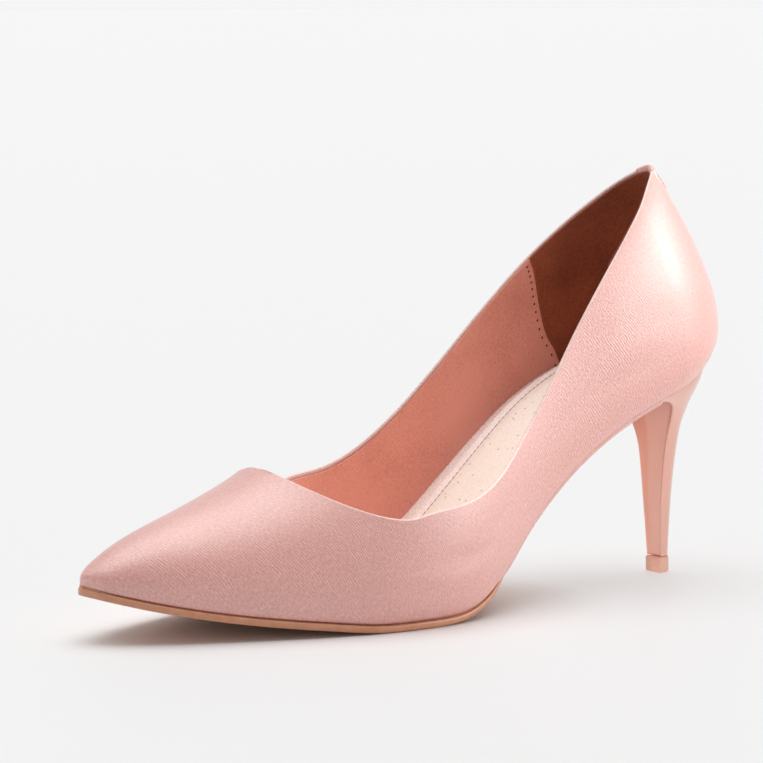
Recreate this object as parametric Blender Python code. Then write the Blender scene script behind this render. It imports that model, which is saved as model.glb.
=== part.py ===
"""Pointed court shoe for a right foot, with a slim moulded heel.

The toe points along +X, the shoe's own left (inner) side is +Y, and the shoe
stands on z = 0. The origin is the middle of the heel tip's floor face.
Lengths are metres. Table entries are shares of the named sizes.
"""
import math
from collections import namedtuple

import bmesh
import bpy

# Sizes of the last
LENGTH = 0.2380
BALL_WIDTH = 0.0790
HEEL_WIDTH = 0.0530
HEEL_HEIGHT = 0.0720
COUNTER_HEIGHT = 0.0670
INSTEP_HEIGHT = 0.0470

# Thicknesses and fits
WALL = 0.0018
SOLE_THICKNESS = 0.0028
PAD_THICKNESS = 0.0016
FIT_GAP = 0.0003
SIDE_GAP = 0.0006

# Ends of the outline, as shares of LENGTH
BACK_ROUND = 0.125
TOE_ROUND = 0.020
THROAT = 0.735
THROAT_ROUND = 0.135
THROAT_POWER = 0.375
SOLE_END = 0.9996
INSOLE_END = 0.985
PAD_END = 0.81
INSOLE_START = 0.001
STATION_CLEAR = 0.010

# Heel tip
TIP_HEIGHT = 0.0052
TIP_WIDTH = 0.0072
TIP_DEPTH = 0.0060
TIP_CENTRE = 0.0145

# Gap between the heel's breast and the back end of the sole
BREAST_GAP = 0.0010

# Sole edge
LIP = 0.0008
GROOVE_DEPTH = 0.0007
GROOVE_SHARE = 0.36
EDGE_BEVEL = 0.0005
LEAST_SHARE = 0.6

# Border of the insole that the padded cover leaves bare
PAD_MARGIN = 0.0070

# Back tab
TAB_RADIUS = 0.0092
TAB_THICKNESS = 0.0009
TAB_STATION = 0.020
TAB_CORNER = 0.17

# Sole line: half widths are shares of BALL_WIDTH, rise is the height of the sole's
# underside as a share of HEEL_HEIGHT, and body is a share of SOLE_THICKNESS
SoleRow = namedtuple("SoleRow", "station left right rise body")
SOLE_LINE = (
    SoleRow(0.000, 0.225, 0.225, 0.985, 0.57),
    SoleRow(0.080, 0.268, 0.280, 0.886, 0.57),
    SoleRow(0.150, 0.296, 0.328, 0.815, 0.57),
    SoleRow(0.220, 0.299, 0.352, 0.715, 0.57),
    SoleRow(0.290, 0.296, 0.371, 0.568, 0.60),
    SoleRow(0.360, 0.308, 0.398, 0.372, 0.66),
    SoleRow(0.420, 0.354, 0.430, 0.193, 0.76),
    SoleRow(0.480, 0.430, 0.462, 0.078, 0.88),
    SoleRow(0.530, 0.486, 0.482, 0.016, 0.96),
    SoleRow(0.560, 0.505, 0.487, 0.000, 1.00),
    SoleRow(0.600, 0.512, 0.485, 0.000, 1.00),
    SoleRow(0.645, 0.504, 0.468, 0.000, 1.00),
    SoleRow(0.730, 0.443, 0.400, 0.028, 1.00),
    SoleRow(0.830, 0.331, 0.298, 0.072, 1.00),
    SoleRow(0.920, 0.209, 0.188, 0.130, 1.00),
    SoleRow(0.975, 0.110, 0.098, 0.178, 1.00),
    SoleRow(1.000, 0.055, 0.050, 0.203, 1.00),
)

# Upper: swell is how far the wall stands out past the sole line as a share of
# HEEL_WIDTH, belly the height of its widest place as a share of INSTEP_HEIGHT,
# crest the height of the arch over the sole line as a share of COUNTER_HEIGHT,
# and top the half width of the top line as a share of the wall's own half width
UpperRow = namedtuple("UpperRow", "station swell_left swell_right belly crest top_left top_right")
UPPER_LINE = (
    UpperRow(0.000, 0.112, 0.118, 0.270, 0.966, 0.300, 0.300),
    UpperRow(0.060, 0.102, 0.106, 0.278, 0.990, 0.387, 0.390),
    UpperRow(0.120, 0.096, 0.094, 0.284, 0.993, 0.520, 0.538),
    UpperRow(0.200, 0.088, 0.086, 0.288, 1.006, 0.693, 0.697),
    UpperRow(0.280, 0.080, 0.084, 0.290, 1.050, 0.839, 0.832),
    UpperRow(0.360, 0.078, 0.084, 0.290, 1.112, 0.934, 0.901),
    UpperRow(0.440, 0.076, 0.080, 0.282, 1.150, 0.950, 0.918),
    UpperRow(0.520, 0.062, 0.064, 0.256, 1.121, 0.940, 0.920),
    UpperRow(0.600, 0.046, 0.048, 0.214, 1.018, 0.928, 0.905),
    UpperRow(0.660, 0.032, 0.034, 0.166, 0.830, 0.923, 0.923),
    UpperRow(0.735, 0.018, 0.018, 0.120, 0.633, 0.960, 0.960),
    UpperRow(0.830, 0.013, 0.010, 0.090, 0.454, 0.960, 0.960),
    UpperRow(0.920, 0.009, 0.006, 0.068, 0.286, 0.960, 0.960),
    UpperRow(0.970, 0.005, 0.003, 0.049, 0.160, 0.960, 0.960),
    UpperRow(1.000, 0.000, 0.000, 0.031, 0.050, 0.960, 0.960),
)

# Back curve: height over the seat as a share of COUNTER_HEIGHT, and the
# distance in front of the seat's back as a share of HEEL_WIDTH
BackRow = namedtuple("BackRow", "height reach")
BACK_CURVE = (
    BackRow(0.00, 0.000),
    BackRow(0.08, -0.060),
    BackRow(0.17, -0.082),
    BackRow(0.30, -0.052),
    BackRow(0.50, 0.058),
    BackRow(0.75, 0.240),
    BackRow(1.00, 0.420),
    BackRow(1.30, 0.560),
)
BACK_FADE = 0.36

# Heel levels, bottom to top: back and front are heights of the level as
# shares of HEEL_HEIGHT, tail and toe its back and front ends as shares of
# HEEL_WIDTH from the seat's back, half its half width, and hollow the depth
# of the breast, both as shares of HEEL_WIDTH
HeelRow = namedtuple("HeelRow", "level back front tail toe half hollow")
HEEL_LEVELS = (
    HeelRow(0.00, 0.0764, 0.0764, 0.226, 0.322, 0.065, 0.012),
    HeelRow(0.12, 0.200, 0.200, 0.218, 0.332, 0.072, 0.016),
    HeelRow(0.26, 0.350, 0.350, 0.206, 0.341, 0.087, 0.020),
    HeelRow(0.38, 0.480, 0.478, 0.192, 0.343, 0.106, 0.026),
    HeelRow(0.48, 0.585, 0.575, 0.176, 0.345, 0.126, 0.034),
    HeelRow(0.59, 0.695, 0.660, 0.155, 0.352, 0.162, 0.044),
    HeelRow(0.68, 0.780, 0.728, 0.122, 0.370, 0.210, 0.060),
    HeelRow(0.77, 0.850, 0.778, 0.085, 0.412, 0.268, 0.098),
    HeelRow(0.85, 0.902, 0.806, 0.052, 0.480, 0.320, 0.158),
    HeelRow(0.93, 0.945, 0.817, 0.026, 0.560, 0.358, 0.222),
    HeelRow(1.00, 0.985, 0.822, 0.008, 0.622, 0.382, 0.262),
)
HEEL_STEPS = 26

# Insole: height of its top over the sole line as a share of INSTEP_HEIGHT
InsoleRow = namedtuple("InsoleRow", "station height")
INSOLE_LINE = (
    InsoleRow(0.000, 0.170),
    InsoleRow(0.120, 0.172),
    InsoleRow(0.215, 0.140),
    InsoleRow(0.310, 0.070),
    InsoleRow(0.400, 0.045),
    InsoleRow(0.500, 0.043),
    InsoleRow(1.000, 0.043),
)

# Zones of stations along the shoe: crowd is 0 for even steps, -1 for steps
# that start small and 1 for steps that end small
Zone = namedtuple("Zone", "start end steps crowd")
UPPER_ZONES = (
    Zone(0.000, BACK_ROUND, 8, -1),
    Zone(BACK_ROUND, THROAT - THROAT_ROUND, 16, 0),
    Zone(THROAT - THROAT_ROUND, THROAT, 7, 1),
    Zone(THROAT, 1.0 - TOE_ROUND, 9, 0),
    Zone(1.0 - TOE_ROUND, 1.0, 4, 1),
)
BELLY_ROWS = 5
ARCH_ROWS = 13
HALVINGS = 30
SIDE_POINTS = 3
HEEL_BACK_STEPS = 18
HEEL_BREAST_STEPS = 10
HEEL_BEND = 0.86
BREAST_POWER = 4
TAB_STEPS = 12
TAB_DROPS = 5

Finish = namedtuple("Finish", "colour roughness")
SATIN = Finish((0.80, 0.45, 0.41), 0.42)
SOLE_RUBBER = Finish((0.58, 0.24, 0.13), 0.50)
HEEL_GLOSS = Finish((0.83, 0.40, 0.31), 0.22)
TIP_RUBBER = Finish((0.56, 0.25, 0.19), 0.55)
INSOLE_COVER = Finish((0.86, 0.62, 0.54), 0.35)
PAD_COVER = Finish((0.70, 0.54, 0.42), 0.70)


class Curve:
    """Smooth curve through a table's column that never overshoots its rows."""

    def __init__(self, rows, across, up):
        self.xs = [getattr(row, across) for row in rows]
        self.ys = [getattr(row, up) for row in rows]
        steps = [b - a for a, b in zip(self.xs, self.xs[1:])]
        rises = [(b - a) / h for a, b, h in zip(self.ys, self.ys[1:], steps)]
        self.slopes = [rises[0]]
        for i in range(1, len(rises)):
            self.slopes.append(self.inner_slope(rises, steps, i))
        self.slopes.append(rises[-1])

    @staticmethod
    def inner_slope(rises, steps, i):
        before = rises[i - 1]
        after = rises[i]
        if before * after <= 0.0:
            return 0.0
        left = 2.0 * steps[i] + steps[i - 1]
        right = steps[i] + 2.0 * steps[i - 1]
        return (left + right) / (left / before + right / after)

    def __call__(self, at):
        at = min(max(at, self.xs[0]), self.xs[-1])
        i = 0
        while i < len(self.xs) - 2 and at > self.xs[i + 1]:
            i += 1
        step = self.xs[i + 1] - self.xs[i]
        t = (at - self.xs[i]) / step
        low = self.ys[i] * (1.0 + 2.0 * t) + step * self.slopes[i] * t
        high = self.ys[i + 1] * (3.0 - 2.0 * t) + step * self.slopes[i + 1] * (t - 1.0)
        return low * (1.0 - t) ** 2 + high * t ** 2


SOLE_LEFT = Curve(SOLE_LINE, "station", "left")
SOLE_RIGHT = Curve(SOLE_LINE, "station", "right")
SOLE_RISE = Curve(SOLE_LINE, "station", "rise")
SOLE_BODY = Curve(SOLE_LINE, "station", "body")
SWELL_LEFT = Curve(UPPER_LINE, "station", "swell_left")
SWELL_RIGHT = Curve(UPPER_LINE, "station", "swell_right")
BELLY = Curve(UPPER_LINE, "station", "belly")
CREST = Curve(UPPER_LINE, "station", "crest")
TOP_LEFT = Curve(UPPER_LINE, "station", "top_left")
TOP_RIGHT = Curve(UPPER_LINE, "station", "top_right")
BACK = Curve(BACK_CURVE, "height", "reach")
INSOLE_TOP = Curve(INSOLE_LINE, "station", "height")


def end_round(station):
    """Share of the width left where the outline rounds off at its two ends."""
    share = 1.0
    if station < BACK_ROUND:
        share *= math.sqrt(max(0.0, 1.0 - (1.0 - station / BACK_ROUND) ** 2))
    if station > 1.0 - TOE_ROUND:
        past = (station - 1.0 + TOE_ROUND) / TOE_ROUND
        share *= math.sqrt(max(0.0, 1.0 - past ** 2))
    return share


def along(station, inset):
    """X of a station, on an outline drawn in by the inset at both ends."""
    return inset + station * (LENGTH - 2.0 * inset) - TIP_CENTRE


def sole_half(side, station, inset=0.0):
    """Half width of the sole line on one side."""
    curve = SOLE_LEFT if side > 0 else SOLE_RIGHT
    return max(0.0, curve(station) * BALL_WIDTH - inset) * end_round(station)


def under_height(station):
    """Height of the sole's underside at its middle."""
    return SOLE_RISE(station) * HEEL_HEIGHT


def sole_height(station):
    """Height of the sole line, where the upper stands on the sole or heel."""
    return under_height(station) + SOLE_BODY(station) * SOLE_THICKNESS


def wall_half(side, station, inset):
    """Half width of the upper at its widest place."""
    swell = SWELL_LEFT if side > 0 else SWELL_RIGHT
    full = sole_half(side, station, inset)
    return full + swell(station) * HEEL_WIDTH * end_round(station)


def back_reach(height, station):
    """How far the back curve carries a place on the wall forward."""
    fade = max(0.0, 1.0 - station / BACK_FADE) ** 2
    return BACK(height / COUNTER_HEIGHT) * HEEL_WIDTH * fade


def top_angle(side, station):
    """Angle up the arch at which the wall ends: a right angle where it closes."""
    share = TOP_LEFT(station) if side > 0 else TOP_RIGHT(station)
    start = THROAT - THROAT_ROUND
    if station >= THROAT:
        return math.pi / 2.0
    if station > start:
        share *= (1.0 - ((station - start) / THROAT_ROUND) ** 2) ** THROAT_POWER
    return math.acos(share)


def upper_point(side, station, row, inset, out=0.0):
    """Point of the wall: rows count from the sole line up to the top line."""
    base = sole_half(side, station, inset)
    wide = wall_half(side, station, inset)
    belly = BELLY(station) * INSTEP_HEIGHT
    arch = CREST(station) * COUNTER_HEIGHT - belly - inset
    if row <= BELLY_ROWS:
        turn = row / BELLY_ROWS * math.pi / 2.0
        across = base + (wide - base) * math.sin(turn)
        height = belly * (1.0 - math.cos(turn))
    else:
        turn = (row - BELLY_ROWS) / ARCH_ROWS * top_angle(side, station)
        across = wide * math.cos(turn)
        height = belly + arch * math.sin(turn)
    x = along(station, inset - out) + back_reach(height, station)
    y = side * (across + out * end_round(station))
    return (x, y, sole_height(station) + height)


def stations(zones):
    """Stations along the shoe, back to toe."""
    found = [zones[0].start]
    for zone in zones:
        for step in range(1, zone.steps + 1):
            share = step / zone.steps
            if zone.crowd < 0:
                share = 1.0 - math.cos(share * math.pi / 2.0)
            if zone.crowd > 0:
                share = math.sin(share * math.pi / 2.0)
            found.append(zone.start + (zone.end - zone.start) * share)
    return found


def between(start, end):
    """The upper's own stations between two places."""
    return [place for place in stations(UPPER_ZONES) if start < place < end]


def paint(body, finish):
    """Give a body its own plain material."""
    material = bpy.data.materials.new(body.name)
    material.use_nodes = True
    shader = material.node_tree.nodes["Principled BSDF"]
    shader.inputs["Base Color"].default_value = (*finish.colour, 1.0)
    shader.inputs["Roughness"].default_value = finish.roughness
    material.diffuse_color = (*finish.colour, 1.0)
    body.data.materials.append(material)


def finish_body(name, mesh_builder, finish):
    """Turn a bmesh into a named object with outward faces."""
    bmesh.ops.remove_doubles(mesh_builder, verts=mesh_builder.verts, dist=1e-7)
    bmesh.ops.recalc_face_normals(mesh_builder, faces=mesh_builder.faces)
    if mesh_builder.calc_volume(signed=True) < 0.0:
        bmesh.ops.reverse_faces(mesh_builder, faces=mesh_builder.faces)
    data = bpy.data.meshes.new(name)
    mesh_builder.to_mesh(data)
    mesh_builder.free()
    body = bpy.data.objects.new(name, data)
    bpy.context.scene.collection.objects.link(body)
    paint(body, finish)
    return body


def loft(name, loops, finish):
    """Closed body through loops of equal count, capped at both ends."""
    shape = bmesh.new()
    rings = [[shape.verts.new(place) for place in loop] for loop in loops]
    for lower, upper in zip(rings, rings[1:]):
        for i in range(len(lower)):
            j = (i + 1) % len(lower)
            shape.faces.new((lower[i], lower[j], upper[j], upper[i]))
    caps = [shape.faces.new(rings[0]), shape.faces.new(rings[-1])]
    bmesh.ops.triangulate(shape, faces=caps)
    return finish_body(name, shape, finish)


def upper_surface(shape, places, inset):
    """Grid of one face of the wall. Returns its vertices by side, row and station."""
    rows = BELLY_ROWS + ARCH_ROWS
    last = len(places) - 1
    verts = {}
    for side in (1, -1):
        for j, station in enumerate(places):
            for row in range(rows + 1):
                closed = row == rows and station >= THROAT
                middle = j in (0, last) or closed
                if side < 0 and middle:
                    verts[side, row, j] = verts[1, row, j]
                    continue
                x, y, z = upper_point(side, station, row, inset)
                verts[side, row, j] = shape.verts.new((x, 0.0 if middle else y, z))
        for j in range(last):
            for row in range(rows):
                quad = (
                    verts[side, row, j],
                    verts[side, row, j + 1],
                    verts[side, row + 1, j + 1],
                    verts[side, row + 1, j],
                )
                shape.faces.new(quad)
    return verts


def make_upper():
    """One hollow wall, open at the top line and underneath."""
    shape = bmesh.new()
    places = stations(UPPER_ZONES)
    outer = upper_surface(shape, places, 0.0)
    inner = upper_surface(shape, places, WALL)
    rows = BELLY_ROWS + ARCH_ROWS
    for side in (1, -1):
        for j in range(len(places) - 1):
            join_edge(shape, outer, inner, side, 0, j)
            if places[j] < THROAT:
                join_edge(shape, outer, inner, side, rows, j)
    return finish_body("upper", shape, SATIN)


def join_edge(shape, outer, inner, side, row, j):
    """Close the wall's edge between two neighbouring stations."""
    quad = (
        outer[side, row, j],
        outer[side, row, j + 1],
        inner[side, row, j + 1],
        inner[side, row, j],
    )
    shape.faces.new(quad)


def wing_room(x):
    """Half width free between the heel's wings at a distance from the seat's back."""
    breast = heel_outline(HEEL_LEVELS[-1])[HEEL_BACK_STEPS:]
    if x >= breast[0][0] + 2.0 * FIT_GAP:
        return LENGTH
    for (front, wide), (back, narrow) in zip(breast, breast[1:]):
        if x - FIT_GAP > back:
            share = min(1.0, (x - FIT_GAP - back) / (front - back))
            return max(0.0, narrow + (wide - narrow) * share - FIT_GAP)
    return 0.0


def sole_stations():
    """Stations of the sole, from the heel's breast, with one past the heel's wings."""
    seat = HEEL_LEVELS[-1]
    start = ((seat.toe - seat.hollow) * HEEL_WIDTH + BREAST_GAP + LIP) / LENGTH
    wings = (seat.toe * HEEL_WIDTH + FIT_GAP + LIP) / LENGTH
    inner = between(start + STATION_CLEAR, SOLE_END)
    places = [place for place in inner if abs(place - wings) > STATION_CLEAR / 2.0]
    return [start] + sorted(places + [wings]) + [SOLE_END]


def sole_loop(station):
    """Cross-section of the sole: flat top, groove, lip and underside."""
    top = sole_height(station) - FIT_GAP
    under = under_height(station)
    groove = top - (top - under) * GROOVE_SHARE
    x = along(station, -LIP)
    room = wing_room(x + TIP_CENTRE)
    loop = []
    for side in (1, -1):
        half = min(room, sole_half(side, station) + LIP * end_round(station))
        inner = max(half - GROOVE_DEPTH, half * LEAST_SHARE)
        bevel = max(half - EDGE_BEVEL, half * LEAST_SHARE)
        profile = [
            (x, side * inner, top),
            (x, side * inner, groove),
            (x, side * half, groove),
            (x, side * half, under + EDGE_BEVEL),
            (x, side * bevel, under),
        ]
        loop.extend(profile if side > 0 else reversed(profile))
    return loop


def make_outsole():
    """Thin moulded sole from the heel's breast to the toe."""
    loops = [sole_loop(station) for station in sole_stations()]
    return loft("outsole", loops, SOLE_RUBBER)


def heel_level(at):
    """Row of the heel's table at any level between its own rows."""
    values = [Curve(HEEL_LEVELS, "level", name)(at) for name in HeelRow._fields]
    return HeelRow(*values)


def heel_outline(level):
    """Flat outline of the heel: round back, two ridges and a hollow breast."""
    toe = level.toe * HEEL_WIDTH
    tail = level.tail * HEEL_WIDTH
    half = level.half * HEEL_WIDTH
    outline = []
    for step in range(HEEL_BACK_STEPS + 1):
        angle = math.pi * (step / HEEL_BACK_STEPS - 0.5)
        bend = abs(math.cos(angle)) ** HEEL_BEND
        outline.append((toe - (toe - tail) * bend, half * math.sin(angle)))
    for step in range(1, HEEL_BREAST_STEPS):
        share = 1.0 - 2.0 * step / HEEL_BREAST_STEPS
        depth = level.hollow * HEEL_WIDTH * (1.0 - share ** BREAST_POWER)
        outline.append((toe - depth, half * share))
    return outline


def heel_loop(at):
    """Section of the heel, level at the tip and sloped at the seat."""
    level = heel_level(at)
    slant = (level.back - level.front) * HEEL_HEIGHT
    span = (level.toe - level.tail) * HEEL_WIDTH
    loop = []
    for x, y in heel_outline(level):
        z = level.back * HEEL_HEIGHT - slant * (x - level.tail * HEEL_WIDTH) / span
        if at == 1.0:
            z = sole_height(x / LENGTH) - FIT_GAP
        loop.append((x - TIP_CENTRE, y, z))
    return loop


def make_heel():
    """Moulded heel from the tip to the seat, with wings under the waist."""
    loops = [heel_loop(step / HEEL_STEPS) for step in range(HEEL_STEPS + 1)]
    return loft("heel", loops, HEEL_GLOSS)


def tip_loop(height, grow):
    """Outline of the heel tip at one height."""
    front = TIP_DEPTH / 2.0 + grow
    back = -TIP_DEPTH / 2.0 - grow
    half = TIP_WIDTH / 2.0 + grow
    loop = []
    for step in range(HEEL_BACK_STEPS + 1):
        angle = math.pi * (step / HEEL_BACK_STEPS - 0.5)
        bend = abs(math.cos(angle)) ** HEEL_BEND
        loop.append((front - (front - back) * bend, half * math.sin(angle), height))
    return loop


def make_tip():
    """Wearing piece under the heel."""
    low = tip_loop(0.0, -EDGE_BEVEL * 0.5)
    ease = tip_loop(EDGE_BEVEL, 0.0)
    high = tip_loop(TIP_HEIGHT, 0.0)
    return loft("heel_tip", [low, ease, high], TIP_RUBBER)


def row_at(side, station, height, inset):
    """Row of the wall that lies at a height over the sole line."""
    low = 0.0
    high = BELLY_ROWS + ARCH_ROWS
    for _ in range(HALVINGS):
        middle = (low + high) / 2.0
        level = upper_point(side, station, middle, inset)[2] - sole_height(station)
        if level > height:
            high = middle
        else:
            low = middle
    return low


def insole_height(station):
    """Height of the insole's top over the sole line."""
    return INSOLE_TOP(station) * INSTEP_HEIGHT


def insole_loop(station):
    """Cross-section of the insole, whose sides follow the wall."""
    inset = WALL + SIDE_GAP
    loop = []
    for side in (1, -1):
        top = row_at(side, station, insole_height(station), inset)
        profile = []
        for step in range(SIDE_POINTS + 1):
            row = top * (1.0 - step / SIDE_POINTS)
            profile.append(upper_point(side, station, row, inset))
        loop.extend(profile if side > 0 else reversed(profile))
    return loop


def make_insole():
    """Covered board and cushion that close the upper's bottom."""
    loops = [insole_loop(station) for station in between(INSOLE_START, INSOLE_END)]
    return loft("insole", loops, INSOLE_COVER)


def pad_loop(station):
    """Cross-section of the padded cover, with a bevelled edge."""
    inset = WALL + SIDE_GAP + PAD_MARGIN
    low = insole_height(station) + FIT_GAP
    high = low + PAD_THICKNESS
    bevel = 2.0 * EDGE_BEVEL
    loop = []
    for side in (1, -1):
        row = row_at(side, station, insole_height(station), inset)
        x, y, z = upper_point(side, station, row, inset)
        base = sole_height(station)
        shy = max(abs(y) - bevel, abs(y) * LEAST_SHARE)
        profile = [
            (x, side * shy, base + high),
            (x, y, base + high - bevel),
            (x, y, base + low),
        ]
        loop.extend(profile if side > 0 else reversed(profile))
    return loop


def make_pad():
    """Padded cover over the middle of the insole."""
    loops = [pad_loop(station) for station in between(INSOLE_START, PAD_END)]
    return loft("sock_pad", loops, PAD_COVER)


def tab_column(share, out):
    """One strip of the tab: over the wall's edge, then down the outside."""
    side = 1 if share >= 0 else -1
    station = TAB_STATION * share * share
    rows = BELLY_ROWS + ARCH_ROWS
    column = []
    for inset in (WALL, 0.0):
        x, y, z = upper_point(side, station, rows, inset)
        column.append((x, y, z + out))
    edge = upper_point(side, station, rows, 0.0, out)
    column.append(edge)
    reach = TAB_RADIUS * max(TAB_CORNER, math.sqrt(1.0 - share * share))
    top = edge[2] - sole_height(station)
    for drop in range(1, TAB_DROPS + 1):
        row = row_at(side, station, top - reach * drop / TAB_DROPS, 0.0)
        column.append(upper_point(side, station, row, 0.0, out))
    return column


def make_tab():
    """Half-round tab folded over the top line at the back."""
    loops = []
    for step in range(-TAB_STEPS, TAB_STEPS + 1):
        share = step / TAB_STEPS
        near = tab_column(share, SIDE_GAP)
        far = tab_column(share, SIDE_GAP + TAB_THICKNESS)
        loops.append(near + far[::-1])
    return loft("back_tab", loops, SATIN)


def clear_scene():
    for body in list(bpy.data.objects):
        bpy.data.objects.remove(body, do_unlink=True)


def main():
    clear_scene()
    make_upper()
    make_outsole()
    make_heel()
    make_tip()
    make_insole()
    make_pad()
    make_tab()


main()
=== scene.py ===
"""Looks of a pointed satin court shoe for a right foot, in a plain pale studio.

The toe points along +X, the shoe's own left (inner) side is +Y, and the shoe
stands on z = 0. Lengths are metres. Table entries are shares of the named sizes.
"""
import math
from collections import namedtuple

import bmesh
import bpy
import numpy as np
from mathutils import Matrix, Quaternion, Vector

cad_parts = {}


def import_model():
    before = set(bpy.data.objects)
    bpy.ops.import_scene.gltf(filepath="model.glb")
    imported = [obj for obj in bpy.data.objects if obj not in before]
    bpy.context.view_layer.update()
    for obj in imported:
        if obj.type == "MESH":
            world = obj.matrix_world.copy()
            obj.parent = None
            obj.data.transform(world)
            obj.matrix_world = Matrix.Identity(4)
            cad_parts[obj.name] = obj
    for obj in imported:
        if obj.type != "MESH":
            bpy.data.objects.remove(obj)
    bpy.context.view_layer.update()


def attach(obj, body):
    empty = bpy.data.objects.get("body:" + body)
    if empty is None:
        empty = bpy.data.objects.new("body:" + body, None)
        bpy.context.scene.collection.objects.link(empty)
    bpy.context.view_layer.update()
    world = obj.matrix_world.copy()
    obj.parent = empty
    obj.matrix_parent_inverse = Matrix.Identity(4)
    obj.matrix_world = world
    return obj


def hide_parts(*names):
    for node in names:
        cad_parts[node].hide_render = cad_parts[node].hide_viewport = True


# Sizes of the last
LENGTH = 0.2380
BALL_WIDTH = 0.0790
HEEL_WIDTH = 0.0530
HEEL_HEIGHT = 0.0720
COUNTER_HEIGHT = 0.0670
INSTEP_HEIGHT = 0.0470

# Thicknesses and fits
WALL = 0.0018
SOLE_THICKNESS = 0.0028
FIT_GAP = 0.0003
SIDE_GAP = 0.0006
SATIN_THICKNESS = 0.0010
LINING_THICKNESS = 0.0006

# Ends of the outline, as shares of LENGTH
BACK_ROUND = 0.125
TOE_ROUND = 0.020
THROAT = 0.735
THROAT_ROUND = 0.135
THROAT_POWER = 0.375
SOLE_END = 0.9996
INSOLE_END = 0.985
PAD_END = 0.81
BACK_FADE = 0.36

# Heel tip, sole edge and tab
TIP_HEIGHT = 0.0052
TIP_WIDTH = 0.0072
TIP_DEPTH = 0.0060
TIP_CENTRE = 0.0145
BREAST_GAP = 0.0010
LIP = 0.0008
PAD_MARGIN = 0.0070
TAB_RADIUS = 0.0092
TAB_STATION = 0.020
HEEL_BEND = 0.86
BREAST_POWER = 4
BELLY_ROWS = 5
ARCH_ROWS = 13
ROWS = BELLY_ROWS + ARCH_ROWS


def table(kind, *rows):
    """Rows of numbers under the names of their columns."""
    return [kind(*row) for row in rows]


SoleRow = namedtuple("SoleRow", "station left right rise body")
SOLE_LINE = table(
    SoleRow,
    (0.000, 0.225, 0.225, 0.985, 0.57),
    (0.080, 0.268, 0.280, 0.886, 0.57),
    (0.150, 0.296, 0.328, 0.815, 0.57),
    (0.220, 0.299, 0.352, 0.715, 0.57),
    (0.290, 0.296, 0.371, 0.568, 0.60),
    (0.360, 0.308, 0.398, 0.372, 0.66),
    (0.420, 0.364, 0.430, 0.190, 0.76),
    (0.480, 0.446, 0.462, 0.058, 0.88),
    (0.530, 0.492, 0.482, 0.006, 0.96),
    (0.560, 0.505, 0.487, 0.000, 1.00),
    (0.600, 0.512, 0.485, 0.000, 1.00),
    (0.645, 0.504, 0.468, 0.000, 1.00),
    (0.730, 0.443, 0.400, 0.028, 1.00),
    (0.830, 0.331, 0.298, 0.072, 1.00),
    (0.920, 0.209, 0.188, 0.130, 1.00),
    (0.975, 0.110, 0.098, 0.178, 1.00),
    (1.000, 0.055, 0.050, 0.203, 1.00),
)

UpperRow = namedtuple("UpperRow", "station swell_left swell_right belly crest top_left top_right")
UPPER_LINE = table(
    UpperRow,
    (0.000, 0.112, 0.118, 0.270, 0.966, 0.300, 0.300),
    (0.060, 0.102, 0.106, 0.278, 0.990, 0.387, 0.390),
    (0.120, 0.096, 0.094, 0.284, 0.993, 0.520, 0.538),
    (0.200, 0.088, 0.086, 0.288, 1.006, 0.693, 0.697),
    (0.280, 0.080, 0.084, 0.290, 1.050, 0.839, 0.832),
    (0.360, 0.078, 0.084, 0.290, 1.112, 0.934, 0.901),
    (0.440, 0.076, 0.080, 0.282, 1.150, 0.950, 0.918),
    (0.520, 0.062, 0.064, 0.256, 1.121, 0.940, 0.920),
    (0.600, 0.046, 0.048, 0.214, 1.018, 0.928, 0.905),
    (0.660, 0.032, 0.034, 0.166, 0.830, 0.923, 0.923),
    (0.735, 0.018, 0.018, 0.120, 0.633, 0.960, 0.960),
    (0.830, 0.013, 0.010, 0.090, 0.454, 0.960, 0.960),
    (0.920, 0.009, 0.006, 0.068, 0.286, 0.960, 0.960),
    (0.970, 0.005, 0.003, 0.049, 0.160, 0.960, 0.960),
    (1.000, 0.000, 0.000, 0.031, 0.050, 0.960, 0.960),
)

BackRow = namedtuple("BackRow", "height reach")
BACK_CURVE = table(
    BackRow,
    (0.00, 0.000),
    (0.08, -0.060),
    (0.17, -0.082),
    (0.30, -0.052),
    (0.50, 0.058),
    (0.75, 0.240),
    (1.00, 0.420),
    (1.30, 0.560),
)

HeelRow = namedtuple("HeelRow", "level back front tail toe half hollow")
HEEL_LEVELS = table(
    HeelRow,
    (0.00, 0.0764, 0.0764, 0.226, 0.322, 0.065, 0.012),
    (0.12, 0.200, 0.200, 0.218, 0.332, 0.072, 0.016),
    (0.26, 0.350, 0.350, 0.206, 0.341, 0.087, 0.020),
    (0.38, 0.480, 0.478, 0.192, 0.343, 0.106, 0.026),
    (0.48, 0.585, 0.575, 0.176, 0.345, 0.126, 0.034),
    (0.59, 0.695, 0.660, 0.155, 0.352, 0.162, 0.044),
    (0.68, 0.780, 0.728, 0.122, 0.370, 0.210, 0.060),
    (0.77, 0.850, 0.778, 0.085, 0.412, 0.268, 0.098),
    (0.85, 0.902, 0.806, 0.052, 0.480, 0.320, 0.158),
    (0.93, 0.945, 0.817, 0.026, 0.560, 0.358, 0.222),
    (1.00, 0.985, 0.822, 0.008, 0.622, 0.382, 0.262),
)

InsoleRow = namedtuple("InsoleRow", "station height")
INSOLE_LINE = table(
    InsoleRow,
    (0.000, 0.170),
    (0.120, 0.172),
    (0.215, 0.140),
    (0.310, 0.070),
    (0.400, 0.045),
    (0.500, 0.043),
    (1.000, 0.043),
)


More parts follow.
